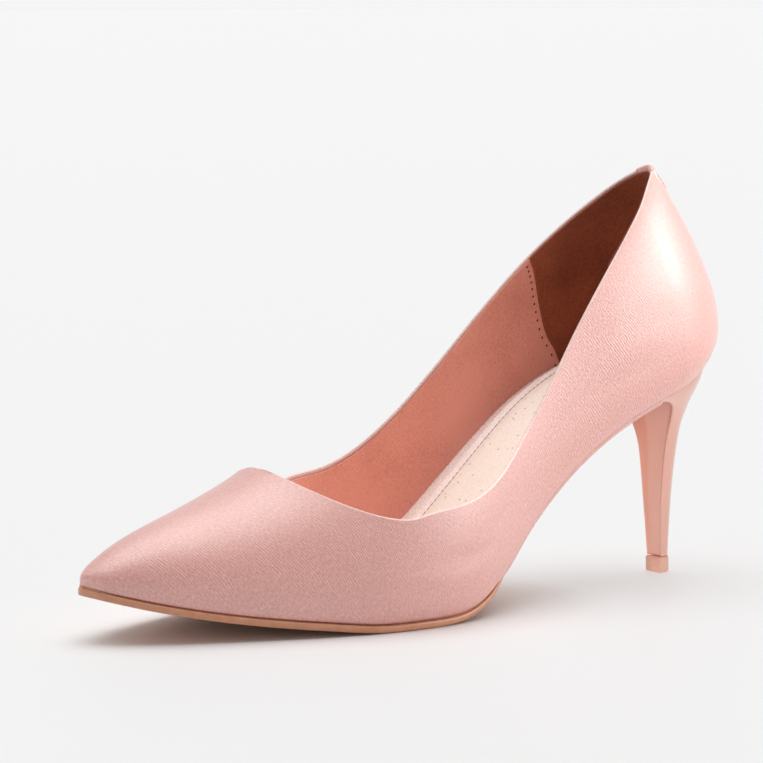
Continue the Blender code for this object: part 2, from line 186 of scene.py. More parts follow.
class Curve:
    """Smooth curve through a table's column that never overshoots its rows."""

    def __init__(self, rows, across, up):
        self.xs = [getattr(row, across) for row in rows]
        self.ys = [getattr(row, up) for row in rows]
        steps = [b - a for a, b in zip(self.xs, self.xs[1:])]
        rises = [(b - a) / h for a, b, h in zip(self.ys, self.ys[1:], steps)]
        self.slopes = [rises[0]]
        for i in range(1, len(rises)):
            self.slopes.append(self.inner_slope(rises, steps, i))
        self.slopes.append(rises[-1])

    @staticmethod
    def inner_slope(rises, steps, i):
        before = rises[i - 1]
        after = rises[i]
        if before * after <= 0.0:
            return 0.0
        left = 2.0 * steps[i] + steps[i - 1]
        right = steps[i] + 2.0 * steps[i - 1]
        return (left + right) / (left / before + right / after)

    def __call__(self, at):
        at = min(max(at, self.xs[0]), self.xs[-1])
        i = 0
        while i < len(self.xs) - 2 and at > self.xs[i + 1]:
            i += 1
        step = self.xs[i + 1] - self.xs[i]
        t = (at - self.xs[i]) / step
        low = self.ys[i] * (1.0 + 2.0 * t) + step * self.slopes[i] * t
        high = self.ys[i + 1] * (3.0 - 2.0 * t) + step * self.slopes[i + 1] * (t - 1.0)
        return low * (1.0 - t) ** 2 + high * t ** 2


# Softening of the curves: fine steps along each, and the reach as a share of the table's axis
FINE_STEPS = 1200
SOFTEN = 0.022
SOFTEN_RISE = 0.0154
SOFTEN_BACK = 0.03


class Smooth(Curve):
    """The same curve with the bends at its rows softened over a short reach."""

    def __init__(self, rows, across, up, reach):
        super().__init__(rows, across, up)
        self.places = np.linspace(self.xs[0], self.xs[-1], FINE_STEPS + 1)
        step = self.places[1] - self.places[0]
        values = np.array([Curve.__call__(self, float(at)) for at in self.places])
        wide = max(1, int(3.0 * reach / step))
        weights = np.exp(-0.5 * (np.arange(-wide, wide + 1) * step / reach) ** 2)
        before = 2.0 * values[0] - values[wide:0:-1]
        after = 2.0 * values[-1] - values[-2:-wide - 2:-1]
        padded = np.concatenate((before, values, after))
        self.values = np.convolve(padded, weights / weights.sum(), "valid")

    def __call__(self, at):
        return float(np.interp(at, self.places, self.values))


SOLE_HALF = {
    1: Smooth(SOLE_LINE, "station", "left", SOFTEN),
    -1: Smooth(SOLE_LINE, "station", "right", SOFTEN),
}
SOLE_RISE = Smooth(SOLE_LINE, "station", "rise", SOFTEN_RISE)
SOLE_BODY = Smooth(SOLE_LINE, "station", "body", SOFTEN)
SWELL = {
    1: Smooth(UPPER_LINE, "station", "swell_left", SOFTEN),
    -1: Smooth(UPPER_LINE, "station", "swell_right", SOFTEN),
}
BELLY = Smooth(UPPER_LINE, "station", "belly", SOFTEN)
CREST = Smooth(UPPER_LINE, "station", "crest", SOFTEN)
TOP = {
    1: Smooth(UPPER_LINE, "station", "top_left", SOFTEN),
    -1: Smooth(UPPER_LINE, "station", "top_right", SOFTEN),
}
BACK = Smooth(BACK_CURVE, "height", "reach", SOFTEN_BACK)
INSOLE_TOP = Smooth(INSOLE_LINE, "station", "height", SOFTEN)


def end_round(at):
    """Share of the width left where the outline rounds off at its two ends."""
    share = 1.0
    if at < BACK_ROUND:
        share *= math.sqrt(max(0.0, 1.0 - (1.0 - at / BACK_ROUND) ** 2))
    if at > 1.0 - TOE_ROUND:
        past = (at - 1.0 + TOE_ROUND) / TOE_ROUND
        share *= math.sqrt(max(0.0, 1.0 - past ** 2))
    return share


def top_angle(side, at):
    """Angle up the arch at which the wall ends: a right angle where it closes."""
    share = TOP[side](at)
    start = THROAT - THROAT_ROUND
    if at >= THROAT:
        return math.pi / 2.0
    if at > start:
        share *= (1.0 - ((at - start) / THROAT_ROUND) ** 2) ** THROAT_POWER
    return math.acos(share)


class Section:
    """One cross-section of the shoe, with its curves read once."""

    def __init__(self, at):
        self.at = at
        self.round = end_round(at)
        self.sole = {side: SOLE_HALF[side](at) * BALL_WIDTH for side in (1, -1)}
        self.swell = {side: SWELL[side](at) * HEEL_WIDTH * self.round for side in (1, -1)}
        self.belly = BELLY(at) * INSTEP_HEIGHT
        self.crest = CREST(at) * COUNTER_HEIGHT
        self.under = SOLE_RISE(at) * HEEL_HEIGHT
        self.base = self.under + SOLE_BODY(at) * SOLE_THICKNESS
        self.top = {side: top_angle(side, at) for side in (1, -1)}
        self.fade = max(0.0, 1.0 - at / BACK_FADE) ** 2
        self.floor = INSOLE_TOP(at) * INSTEP_HEIGHT

    def half(self, side, inset=0.0):
        """Half width of the sole line."""
        return max(0.0, self.sole[side] - inset) * self.round

    def point(self, side, row, inset=0.0, out=0.0):
        """Point of the wall: rows count from the sole line up to the top line."""
        base = self.half(side, inset)
        wide = base + self.swell[side]
        if row <= BELLY_ROWS:
            turn = row / BELLY_ROWS * math.pi / 2.0
            across = base + self.swell[side] * math.sin(turn)
            height = self.belly * (1.0 - math.cos(turn))
        else:
            turn = (row - BELLY_ROWS) / ARCH_ROWS * self.top[side]
            across = wide * math.cos(turn)
            height = self.belly + (self.crest - self.belly - inset) * math.sin(turn)
        gap = inset - out
        x = gap + self.at * (LENGTH - 2.0 * gap) - TIP_CENTRE
        x += BACK(height / COUNTER_HEIGHT) * HEEL_WIDTH * self.fade
        return np.array((x, side * (across + out * self.round), self.base + height))

    def row_at(self, side, height, inset):
        """Row of the wall that lies at a height over the sole line."""
        low = 0.0
        high = float(ROWS)
        for _ in range(24):
            middle = (low + high) / 2.0
            if self.point(side, middle, inset)[2] - self.base > height:
                high = middle
            else:
                low = middle
        return low


def spread(start, end, steps, crowd=0):
    """Places from start to end: crowd -1 starts with small steps, 1 ends with them."""
    shares = np.linspace(0.0, 1.0, steps + 1)
    if crowd < 0:
        shares = 1.0 - np.cos(shares * math.pi / 2.0)
    if crowd > 0:
        shares = np.sin(shares * math.pi / 2.0)
    return start + (end - start) * shares


def shoe_places():
    """Fine stations from the back to the toe."""
    zones = (
        spread(0.0, BACK_ROUND, 44, -1),
        spread(BACK_ROUND, THROAT - THROAT_ROUND, 110)[1:],
        spread(THROAT - THROAT_ROUND, THROAT, 60, 1)[1:],
        spread(THROAT, 1.0 - TOE_ROUND, 58)[1:],
        spread(1.0 - TOE_ROUND, 1.0, 20, 1)[1:],
    )
    return [float(at) for at in np.concatenate(zones)]


PLACES = shoe_places()
SECTIONS = [Section(at) for at in PLACES]
THROAT_INDEX = min(range(len(PLACES)), key=lambda i: abs(PLACES[i] - THROAT))


class Shape:
    """Vertices, faces, material numbers and flat coordinates of one piece."""

    def __init__(self):
        self.points = []
        self.flat = []
        self.faces = []
        self.kinds = []

    def add(self, point, flat=(0.0, 0.0)):
        self.points.append(tuple(float(v) for v in point))
        self.flat.append((float(flat[0]), float(flat[1])))
        return len(self.points) - 1

    def face(self, corners, kind=0):
        corners = list(dict.fromkeys(corners))
        if len(corners) > 2:
            self.faces.append(corners)
            self.kinds.append(kind)

    def strip(self, first, second, kind=0, closed=False):
        """Quads between two rings of vertices."""
        count = len(first)
        for i in range(count if closed else count - 1):
            j = (i + 1) % count
            self.face((first[i], first[j], second[j], second[i]), kind)

    def loft(self, rings, closed=True, caps=True):
        """Skin over a row of rings, with a face on each end."""
        for first, second in zip(rings, rings[1:]):
            self.strip(first, second, closed=closed)
        if caps:
            self.face(rings[0])
            self.face(rings[-1])

    def make(self, name, materials):
        """Mesh object of the shape that rides on the shoe."""
        data = bpy.data.meshes.new(name)
        data.from_pydata(self.points, [], self.faces)
        for material in materials:
            data.materials.append(material)
        data.polygons.foreach_set("material_index", self.kinds)
        layer = data.uv_layers.new(name="flat")
        corner = np.empty(len(data.loops), dtype=np.int32)
        data.loops.foreach_get("vertex_index", corner)
        layer.data.foreach_set("uv", np.array(self.flat)[corner].ravel())
        tidy = bmesh.new()
        tidy.from_mesh(data)
        bmesh.ops.recalc_face_normals(tidy, faces=tidy.faces)
        tidy.to_mesh(data)
        tidy.free()
        data.polygons.foreach_set("use_smooth", [True] * len(data.polygons))
        body = bpy.data.objects.new(name, data)
        bpy.context.scene.collection.objects.link(body)
        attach(body, "root")
        return body


def unit(vector):
    return vector / max(np.linalg.norm(vector), 1e-12)


def edge_frame(side, at, inset):
    """Top line's place, outward normal, and direction away from the wall at the edge."""
    step = 1e-4
    at = min(at, THROAT - 1e-6)
    before = Section(max(0.0, at - step))
    after = Section(min(THROAT - 1e-7, at + step))
    here = Section(at)
    place = here.point(side, ROWS, inset)
    along = unit(after.point(side, ROWS, inset) - before.point(side, ROWS, inset))
    arch = unit(place - here.point(side, ROWS - 0.05, inset))
    if at <= 0.0:
        normal = unit(np.array((-1.0, 0.0, 0.0)) - arch * np.dot((-1.0, 0.0, 0.0), arch))
        return place, normal, arch
    before.top[side] = here.top[side]
    after.top[side] = here.top[side]
    forward = unit(after.point(side, ROWS, inset) - before.point(side, ROWS, inset))
    normal = unit(np.cross(arch, forward)) * side
    away = unit(np.cross(along, normal)) * side
    return place, normal, away


def edge_loop(inset):
    """Frames round the whole top line: left side to the throat, then back on the right."""
    frames = []
    for j in range(THROAT_INDEX + 1):
        frames.append((1, j, edge_frame(1, PLACES[j], inset)))
    for j in range(THROAT_INDEX - 1, 0, -1):
        frames.append((-1, j, edge_frame(-1, PLACES[j], inset)))
    return frames


def section_run(section, side, rows, inset):
    """Points up one side, and how far the cloth runs from them to a level line."""
    points = [section.point(side, row, inset) for row in rows]
    lengths = [0.0]
    for a, b in zip(points, points[1:]):
        lengths.append(lengths[-1] + float(np.linalg.norm(b - a)))
    rest = (math.pi / 2.0 - section.top[side]) * section.half(side)
    level = section.base + section.crest
    return points, [side * (lengths[-1] + rest - length) - level for length in lengths]


def skin(shape, rows, inset, shift):
    """Both sides of one face of the wall. Returns vertex numbers by side, station, row."""
    numbers = {}
    last = len(PLACES) - 1
    for side in (1, -1):
        for j, section in enumerate(SECTIONS):
            points, across = section_run(section, side, rows, inset)
            for i, row in enumerate(rows):
                closed = row == rows[-1] and PLACES[j] >= THROAT - 1e-9
                middle = j in (0, last) or closed
                if side < 0 and middle:
                    numbers[side, j, i] = numbers[1, j, i]
                    continue
                point = points[i].copy()
                if middle:
                    point[1] = 0.0
                flat = (section.at * LENGTH, across[i])
                numbers[side, j, i] = shape.add(shift(side, j, row, point), flat)
    for side in (1, -1):
        for j in range(last):
            for i in range(len(rows) - 1):
                near = (numbers[side, j, i], numbers[side, j + 1, i])
                shape.face((*near, numbers[side, j + 1, i + 1], numbers[side, j, i + 1]))
    return numbers


def fine_rows(belly, arch):
    low = np.linspace(0.0, BELLY_ROWS, belly + 1)
    high = np.linspace(BELLY_ROWS, ROWS, arch + 1)[1:]
    return [float(row) for row in np.concatenate((low, high))]


def soft_step(value):
    value = min(1.0, max(0.0, value))
    return value * value * (3.0 - 2.0 * value)


# Stations where the satin starts to cover the sole's edge and where it stops, with their reach
WRAP_FRONT = (0.478, 0.065)
WRAP_BACK = (0.125, 0.020)


def waist_wrap(at):
    """Share of the sole's edge that the satin covers: all of it under the waist."""
    front = soft_step((WRAP_FRONT[0] - at) / WRAP_FRONT[1])
    return front * soft_step((at - WRAP_BACK[0]) / WRAP_BACK[1])


# Satin's lower edge: share of the way down, how far out over the sole, how far in without it
TURN_STEPS = ((0.5, 0.0004, 0.00005), (1.0, 0.0003, 0.0003), (1.0, 0.0, 0.0016))
TURN_DROP = 0.0002


def turn_in(shape, numbers):
    """Lower edge of the satin, drawn in under the upper to meet the sole."""
    for side in (1, -1):
        ring = [numbers[side, j, 0] for j in range(len(PLACES))]
        for share, out, inset in TURN_STEPS:
            new = []
            for j, section in enumerate(SECTIONS):
                wrap = waist_wrap(section.at)
                drop = share * (TURN_DROP + wrap * (section.base - section.under))
                point = section.point(side, 0.0, inset - out * wrap)
                if j in (0, len(PLACES) - 1):
                    point[1] = 0.0
                flat = (section.at * LENGTH, side * drop - section.base)
                new.append(shape.add(point - (0.0, 0.0, drop), flat))
            shape.strip(ring, new)
            ring = new


def roll_edge(shape, ring, frames, profile, kind):
    """Cloth rolled on from a ring: the profile gives depth inward, rise and flat place."""
    for depth, rise, flat in profile:
        new = []
        for side, j, (place, normal, away) in frames:
            point = place - normal * depth + away * rise
            if j in (0, THROAT_INDEX):
                point[1] = 0.0
            new.append(shape.add(point, (PLACES[j] * LENGTH, side * flat)))
        shape.strip(ring, new, kind=kind, closed=True)
        ring = new


SATIN_FOLD = (0.0006, 0.0014, 0.0026)
SATIN_ROLL = 7


def make_satin(materials):
    """Outside of the upper, with its edge folded over the top line."""
    shape = Shape()
    rows = fine_rows(16, 72)
    radius = SATIN_THICKNESS / 2.0
    numbers = skin(shape, rows, 0.0, edge_drop(0.0, radius, 2.0, soft_creases))
    turn_in(shape, numbers)
    frames = edge_loop(0.0)
    ring = [numbers[side, j, len(rows) - 1] for side, j, _ in frames]
    profile = []
    for step in range(1, SATIN_ROLL + 1):
        turn = math.pi * step / SATIN_ROLL
        rise = radius * math.sin(turn)
        profile.append((radius * (1.0 - math.cos(turn)), rise - radius, rise))
    for drop in SATIN_FOLD:
        profile.append((SATIN_THICKNESS, -drop - radius, -drop))
    # The rolled edge and its fold take the second material, the paler satin: a painted highlight
    # along the top line.
    roll_edge(shape, ring, frames, profile, 1)
    return shape.make("upper_satin", materials)


def edge_drop(inset, drop, reach, dents=None):
    """Shift that draws the wall's top rows down, away from the top line."""
    frames = {(side, j): frame for side, j, frame in edge_loop(inset)}

    def shift(side, j, row, point):
        if dents:
            point = dents(side, j, row, point)
        frame = frames.get((side, j)) or frames.get((1, j))
        if frame is None or j > THROAT_INDEX:
            return point
        share = max(0.0, 1.0 - (ROWS - row) / reach) ** 2
        return point - frame[2] * drop * share

    return shift


# Soft troughs and ridges: middle and ends as station and row, half width, depth
Crease = namedtuple("Crease", "side station row run rise wide depth")
CREASES = table(
    Crease,
    (1, 0.520, 8.2, 0.075, 2.6, 0.040, 0.00026),
    (1, 0.585, 6.2, 0.085, 2.2, 0.036, -0.00020),
    (1, 0.440, 9.5, 0.060, 3.0, 0.034, 0.00020),
    (1, 0.370, 7.5, 0.050, 3.2, 0.034, -0.00018),
    (1, 0.230, 6.4, 0.070, 1.8, 0.030, 0.00020),
    (1, 0.160, 9.0, 0.060, 2.2, 0.028, 0.00018),
    (-1, 0.500, 8.4, 0.070, 2.4, 0.040, 0.00024),
    (-1, 0.590, 6.4, 0.080, 2.2, 0.036, -0.00018),
    (-1, 0.420, 9.0, 0.060, 3.0, 0.034, 0.00018),
    (-1, 0.200, 7.2, 0.070, 1.8, 0.030, 0.00018),
)


def soft_creases(side, j, row, point):
    """Point of the satin pushed in or out by the creases near it."""
    at = PLACES[j]
    depth = 0.0
    for crease in CREASES:
        if crease.side != side:
            continue
        along = (at - crease.station) / crease.run
        up = (row - crease.row) / crease.rise
        run = (along + up) * 0.7071
        across = (up - along) * 0.7071 * crease.run / crease.wide
        depth += crease.depth * math.exp(-run * run - across * across)
    edge = min(1.0, row / 2.5) * min(1.0, max(0.0, (ROWS - row) / 3.0))
    return point - np.array((0.0, side * depth * edge, 0.0))


LINING_DROP = 0.0013
LINING_ROLL = 5


def make_lining(materials):
    """Leather lining inside the wall, with its own cut edge under the fold."""
    shape = Shape()
    rows = fine_rows(8, 52)
    numbers = skin(shape, rows, WALL, edge_drop(WALL, LINING_DROP, 3.0))
    frames = edge_loop(WALL)
    ring = [numbers[side, j, len(rows) - 1] for side, j, _ in frames]
    radius = LINING_THICKNESS / 2.0
    profile = []
    for step in range(1, LINING_ROLL + 1):
        turn = math.pi * step / LINING_ROLL
        depth = -radius * (1.0 - math.cos(turn))
        profile.append((depth, radius * math.sin(turn) - LINING_DROP, 0.0))
    roll_edge(shape, ring, frames, profile, 0)
    return shape.make("upper_lining", materials)


# Heel grip: its front edge as station against row of the wall
GripRow = namedtuple("GripRow", "row station")
GRIP_EDGE = table(
    GripRow,
    (0.00, 0.130),
    (4.25, 0.148),
    (6.75, 0.165),
    (9.75, 0.175),
    (14.0, 0.188),
    (18.0, 0.207),
)
GRIP_STATION = Curve(GRIP_EDGE, "row", "station")
GRIP_THICKNESS = 0.0005
GRIP_STEPS = 90
GRIP_CROWD = 1.6
GRIP_LOWEST = 1.0
GRIP_UNDER_EDGE = 0.16
HOLES_AHEAD = 0.0075


def grip_point(share, row, lift):
    """Point of the grip: share runs from -1 to 1 round the back of the heel."""
    side = 1 if share >= 0.0 else -1
    at = abs(share) ** GRIP_CROWD * GRIP_STATION(row)
    section = Section(at)
    inset = WALL + lift
    point = section.point(side, row, inset)
    if share == 0.0:
        point[1] = 0.0
    return point, (side * at * LENGTH, row * 0.004)


def make_grip(materials):
    """Suede grip round the inside of the heel."""
    shape = Shape()
    rows = [float(row) for row in np.linspace(GRIP_LOWEST, ROWS - GRIP_UNDER_EDGE, 56)]
    shares = [step / GRIP_STEPS for step in range(-GRIP_STEPS, GRIP_STEPS + 1)]
    rings = []
    for row in rows:
        rings.append([shape.add(*grip_point(share, row, GRIP_THICKNESS)) for share in shares])
    shape.loft(rings, closed=False, caps=False)
    border = [ring[0] for ring in rings] + rings[-1][1:]
    border += [ring[-1] for ring in rings[::-1]][1:]
    spots = [(-1.0, row) for row in rows]
    spots += [(share, rows[-1]) for share in shares[1:]]
    spots += [(1.0, row) for row in rows[::-1]][1:]
    lowered = [shape.add(*grip_point(share * 1.003, row, 0.00005)) for share, row in spots]
    shape.strip(border, lowered)
    return shape.make("heel_grip", materials)


def wing_room(x):
    """Half width free between the heel's wings at a distance from the seat's back."""
    seat = HEEL_LEVELS[-1]
    toe = seat.toe * HEEL_WIDTH
    if x >= toe + 2.0 * FIT_GAP:
        return LENGTH
    share = 1.0 - (toe - x - FIT_GAP) / (seat.hollow * HEEL_WIDTH)
    share = min(1.0, max(0.0, share))
    return seat.half * HEEL_WIDTH * share ** (1.0 / BREAST_POWER) - 2.0 * FIT_GAP


# Sole's edge: how far it tucks in under the satin, lip's share of the height, softness
SOLE_TUCK = 0.0010
LIP_SHARE = 0.85
LIP_SOFT = 0.0005
SOLE_TOP_LAP = 0.0002


def sole_ring(section):
    """Cross-section of the sole: a groove under the upper, then a rounded lip."""
    top = section.base + SOLE_TOP_LAP
    under = section.under
    tall = section.base - FIT_GAP - under
    x = -LIP + section.at * (LENGTH + 1.4 * LIP)
    room = wing_room(x)
    wrap = waist_wrap(section.at)
    ring = []
    for side in (1, -1):
        out = LIP * section.round * (1.0 - wrap) - SOLE_TUCK * wrap
        half = min(room, section.half(side) + out)
        deep = max(half - LIP * section.round - 0.0003, half * 0.6)
        soft = min(LIP_SOFT, tall * 0.25)
        lip = tall * LIP_SHARE
        profile = [
            (deep, top, 0),
            (deep, under + lip + soft * 0.4, 0),
            (deep + (half - deep) * 0.55, under + lip + soft * 0.15, 0),
            (half - soft * 0.35, under + lip, 1),
            (half, under + lip - soft, 1),
            (half, under + lip * 0.5, 1),
            (half, under + soft, 1),
            (half - soft * 0.35, under + soft * 0.35, 1),
            (half - soft, under, 1),
            (max(half - 0.004, half * 0.5), under, 2),
        ]
        points = [((x - TIP_CENTRE, side * max(y, 0.0), z), kind) for y, z, kind in profile]
        ring.extend(points if side > 0 else points[::-1])
    return ring


def make_sole(materials):
    """Thin moulded sole with a grooved edge."""
    shape = Shape()
    seat = HEEL_LEVELS[-1]
    start = ((seat.toe - seat.hollow) * HEEL_WIDTH + BREAST_GAP + LIP) / LENGTH
    wings = (seat.toe * HEEL_WIDTH + FIT_GAP + LIP) / LENGTH
    fine = list(spread(start, wings, 24, -1)) + list(spread(wings + 0.0008, 0.56, 90))
    fine += list(spread(0.56, 1.0 - TOE_ROUND, 80))[1:]
    fine += list(spread(1.0 - TOE_ROUND, SOLE_END, 20, 1))[1:]
    rings = []
    for at in fine:
        ring = sole_ring(Section(float(at)))
        rings.append([shape.add(point, (at * LENGTH, point[1])) for point, _ in ring])
        kinds = [kind for _, kind in ring]
    # Faces of kind 0, the groove, take its darker colour: painted shade in the recess.
    for first, second in zip(rings, rings[1:]):
        count = len(first)
        for i in range(count):
            j = (i + 1) % count
            kind = max(kinds[i], kinds[j])
            if {kinds[i], kinds[j]} == {0, 1}:
                kind = 0
            if i == count - 1:
                kind = 0
            shape.face((first[i], first[j], second[j], second[i]), kind)
    shape.face(rings[0], 1)
    shape.face(rings[-1], 1)
    return shape.make("outsole_edge", materials)


HEEL_CURVES = [Curve(HEEL_LEVELS, "level", name) for name in HeelRow._fields]


def round_back(front, back, half, steps):
    """Outline across the heel that bulges from its front to its back."""
    outline = []
    for step in range(steps + 1):
        angle = math.pi * (step / steps - 0.5)
        bend = abs(math.cos(angle)) ** HEEL_BEND
        outline.append((front - (front - back) * bend, half * math.sin(angle)))
    return outline


def heel_ring(at):
    """Section of the heel: round back, two softened ridges and a hollow breast."""
    level = HeelRow(*[curve(at) for curve in HEEL_CURVES])
    toe = level.toe * HEEL_WIDTH
    tail = level.tail * HEEL_WIDTH
    half = level.half * HEEL_WIDTH
    outline = round_back(toe, tail, half, 60)
    for step in range(1, 40):
        share = math.cos(math.pi * step / 40)
        depth = level.hollow * HEEL_WIDTH * (1.0 - share ** BREAST_POWER)
        outline.append((toe - depth, half * share))
    slant = (level.back - level.front) * HEEL_HEIGHT
    ring = []
    for x, y in outline:
        z = level.back * HEEL_HEIGHT - slant * (x - tail) / (toe - tail)
        if at >= 1.0:
            z = Section(x / LENGTH).base - FIT_GAP
        ring.append((x - TIP_CENTRE, y, z))
    return ring


def make_heel(materials):
    """Glossy moulded heel."""
    shape = Shape()
    rings = []
    for at in np.linspace(0.0, 1.0, 120):
        rings.append([shape.add(point) for point in heel_ring(float(at))])
    shape.loft(rings)
    return shape.make("heel_body", materials)


# Heel tip's outline: height over the floor and how far it stands out there
TIP_PROFILE = (
    (0.0, -0.0005),
    (0.0001, -0.0002),
    (0.0004, 0.0),
    (0.0020, 0.0),
    (TIP_HEIGHT - 0.0003, 0.0),
    (TIP_HEIGHT, -0.0003),
)


def make_tip(materials):
    """Wearing piece under the heel."""
    shape = Shape()
    rings = []
    for height, grow in TIP_PROFILE:
        front = TIP_DEPTH / 2.0 + grow
        back = -TIP_DEPTH / 2.0 - grow
        outline = round_back(front, back, TIP_WIDTH / 2.0 + grow, 40)
        rings.append([shape.add((x, y, height)) for x, y in outline])
    shape.loft(rings)
    return shape.make("heel_tip_piece", materials)


FLOOR_START = 0.0008
COVER_GAP = 0.0003
COVER_SOFT = 0.0012


def floor_places(end):
    return [at for at in PLACES if FLOOR_START < at < end]


def make_insole(materials):
    """Pearly cover of the inner floor, with its edge turned up along the wall."""
    shape = Shape()
    rings = []
    inset = WALL + COVER_GAP
    for at in floor_places(INSOLE_END):
        section = Section(at)
        ring = []
        for side in (1, -1):
            top = section.row_at(side, section.floor, inset)
            edge = section.point(side, top, inset)
            half = abs(edge[1])
            soft = min(COVER_SOFT, half * 0.4)
            run = [
                tuple(section.point(side, top * 0.3, inset)),
                (edge[0], edge[1], edge[2] - soft * 0.6),
                (edge[0], side * (half - soft * 0.25), edge[2] - soft * 0.15),
                (edge[0], side * (half - soft), edge[2]),
                (edge[0], side * half * 0.5, edge[2]),
            ]
            points = [shape.add(point, (at * LENGTH, point[1])) for point in run]
            ring.extend(points if side > 0 else points[::-1])
        rings.append(ring)
    shape.loft(rings)
    return shape.make("insole_cover", materials)


# Padded sock: crown inside the stitches, their distance from its edge, border's height and dip
PAD_CROWN = 0.0012
STITCH_IN = 0.0044
BORDER_HEIGHT = 0.0009
BORDER_DIP = 0.0002
PAD_RAMP = 0.006
PAD_FRONT_RAMP = 0.004
PAD_BACK_RAMP = 0.003
PAD_SHARES = list(np.linspace(0.0, 0.16, 34)) + list(np.linspace(0.16, 0.84, 34))[1:-1]
PAD_SHARES += [1.0 - share for share in np.linspace(0.0, 0.16, 34)[::-1]]


def pad_edge(section, side):
    """Edge of the padded cover on one side, at the insole's height."""
    inset = WALL + SIDE_GAP + PAD_MARGIN
    row = section.row_at(side, section.floor, inset)
    return section.point(side, row, inset)


def pad_height(inward):
    """Height of the pad over the insole at a distance in from its edge."""
    if inward < STITCH_IN:
        share = inward / STITCH_IN
        return BORDER_HEIGHT * min(1.0, share / 0.2) ** 0.5 - BORDER_DIP * share ** 4
    past = min(1.0, (inward - STITCH_IN) / PAD_RAMP)
    return BORDER_HEIGHT - BORDER_DIP + PAD_CROWN * math.sin(past * math.pi / 2.0)


def make_pad(materials):
    """Padded sock over the middle of the insole, held down by a line of stitches."""
    shape = Shape()
    rings = []
    for at in floor_places(PAD_END):
        section = Section(at)
        left = pad_edge(section, 1)
        right = pad_edge(section, -1)
        width = left[1] - right[1]
        ring = []
        for share in PAD_SHARES:
            y = right[1] + width * share
            inward = max(0.0, min(y - right[1], left[1] - y))
            front = (PAD_END - at) * LENGTH / PAD_FRONT_RAMP
            end = min(1.0, front, (at - FLOOR_START) * LENGTH / PAD_BACK_RAMP)
            rise = pad_height(inward) * math.sqrt(max(0.0, 1.0 - (1.0 - end) ** 2))
            x = left[0] + (right[0] - left[0]) * (1.0 - share)
            z = section.base + section.floor + 0.0001 + rise
            ring.append(shape.add((x, y, z), (at * LENGTH, y)))
        rings.append(ring)
    for first, second in zip(rings, rings[1:]):
        width = abs(shape.points[first[-1]][1] - shape.points[first[0]][1])
        for i in range(len(PAD_SHARES) - 1):
            middle = (PAD_SHARES[i] + PAD_SHARES[i + 1]) / 2.0
            border = min(middle, 1.0 - middle) * width < STITCH_IN
            shape.face((first[i], first[i + 1], second[i + 1], second[i]), 1 if border else 0)
    return shape.make("sock_cover", materials)


def tab_point(share, down, out):
    """Point of the tab's outside: share across, down from 0 at the edge to 1."""
    side = 1 if share >= 0 else -1
    section = Section(TAB_STATION * share * share)
    edge = section.point(side, ROWS, 0.0, out)
    top = edge[2] - section.base
    row = section.row_at(side, top - SATIN_THICKNESS / 2.0 - TAB_RADIUS * down, 0.0)
    point = section.point(side, row, 0.0, out)
    if share == 0:
        point[1] = 0.0
    return point


# Tab: height over the satin, how far its edge sinks in, reach inside, and share of the soft edge
TAB_RISE = 0.0006
TAB_SINK = 0.00012
TAB_INSIDE = 0.0036
TAB_SOFT = 0.16


def tab_lift(share, depth):
    """Height of the tab over the satin, falling off softly at its round edge."""
    return TAB_RISE * soft_step((1.0 - math.hypot(share, depth)) / TAB_SOFT) - TAB_SINK


def make_tab(materials):
    """Half-round satin tab folded over the top line at the back, with soft edges."""
    shape = Shape()
    columns = []
    steps = 36
    drops = 22
    radius = SATIN_THICKNESS / 2.0
    for step in range(-steps, steps + 1):
        share = step / steps
        place, normal, away = edge_frame(1 if share >= 0 else -1, TAB_STATION * share * share, 0.0)
        column = []
        for drop in (1.0, 0.96, 0.9, 0.8, 0.6, 0.4, 0.2):
            out = tab_lift(share, drop)
            point = place - normal * (SATIN_THICKNESS + out)
            column.append(point - away * (radius + TAB_INSIDE * drop))
        for bend in range(0, 9):
            turn = math.pi * bend / 8.0
            size = radius + tab_lift(share, 0.0)
            point = place - normal * radius - normal * (math.cos(turn) * size)
            column.append(point + away * (math.sin(turn) * size - radius))
        for drop in range(1, drops + 1):
            down = drop / drops
            column.append(tab_point(share, down, tab_lift(share, down)))
        if step == 0:
            for point in column:
                point[1] = 0.0
        columns.append(
            [shape.add(point, (step * 0.00025, i * 0.0005)) for i, point in enumerate(column)]
        )
    shape.loft(columns, closed=False, caps=False)
    return shape.make("back_tab_piece", materials)


Thread = namedtuple("Thread", "step length radius")
SOCK_THREAD = Thread(0.0019, 0.0017, 0.00018)
TAB_THREAD = Thread(0.0017, 0.0013, 0.00016)
SOCK_THREAD_HEIGHT = 0.00085
TAB_THREAD_SHARE = 0.84


def lay_stitches(name, spots, material, thread):
    """Joined mesh of short threads: each spot is a place, a direction and an up."""
    shape = Shape()
    for place, direction, up in spots:
        direction = unit(np.array(direction, float))
        up = unit(np.array(up, float))
        side = unit(np.cross(up, direction))
        rings = []
        for step in range(6):
            t = step / 5.0
            bow = math.sin(math.pi * t)
            middle = np.array(place) + direction * thread.length * (t - 0.5)
            middle = middle + up * thread.radius * (1.1 * bow - 0.25)
            size = thread.radius * (0.55 + 0.45 * bow)
            ring = []
            for k in range(6):
                turn = 2.0 * math.pi * k / 6
                point = middle + (side * math.cos(turn) + up * math.sin(turn)) * size
                ring.append(shape.add(point))
            rings.append(ring)
        shape.loft(rings)
    return shape.make(name, [material])


def walk(points, step):
    """Places at even steps along a run of points, with their directions."""
    spots = []
    left = step / 2.0
    for a, b in zip(points, points[1:]):
        span = float(np.linalg.norm(b - a))
        while left <= span:
            spots.append((a + (b - a) * left / span, unit(b - a)))
            left += step
        left -= span
    return spots


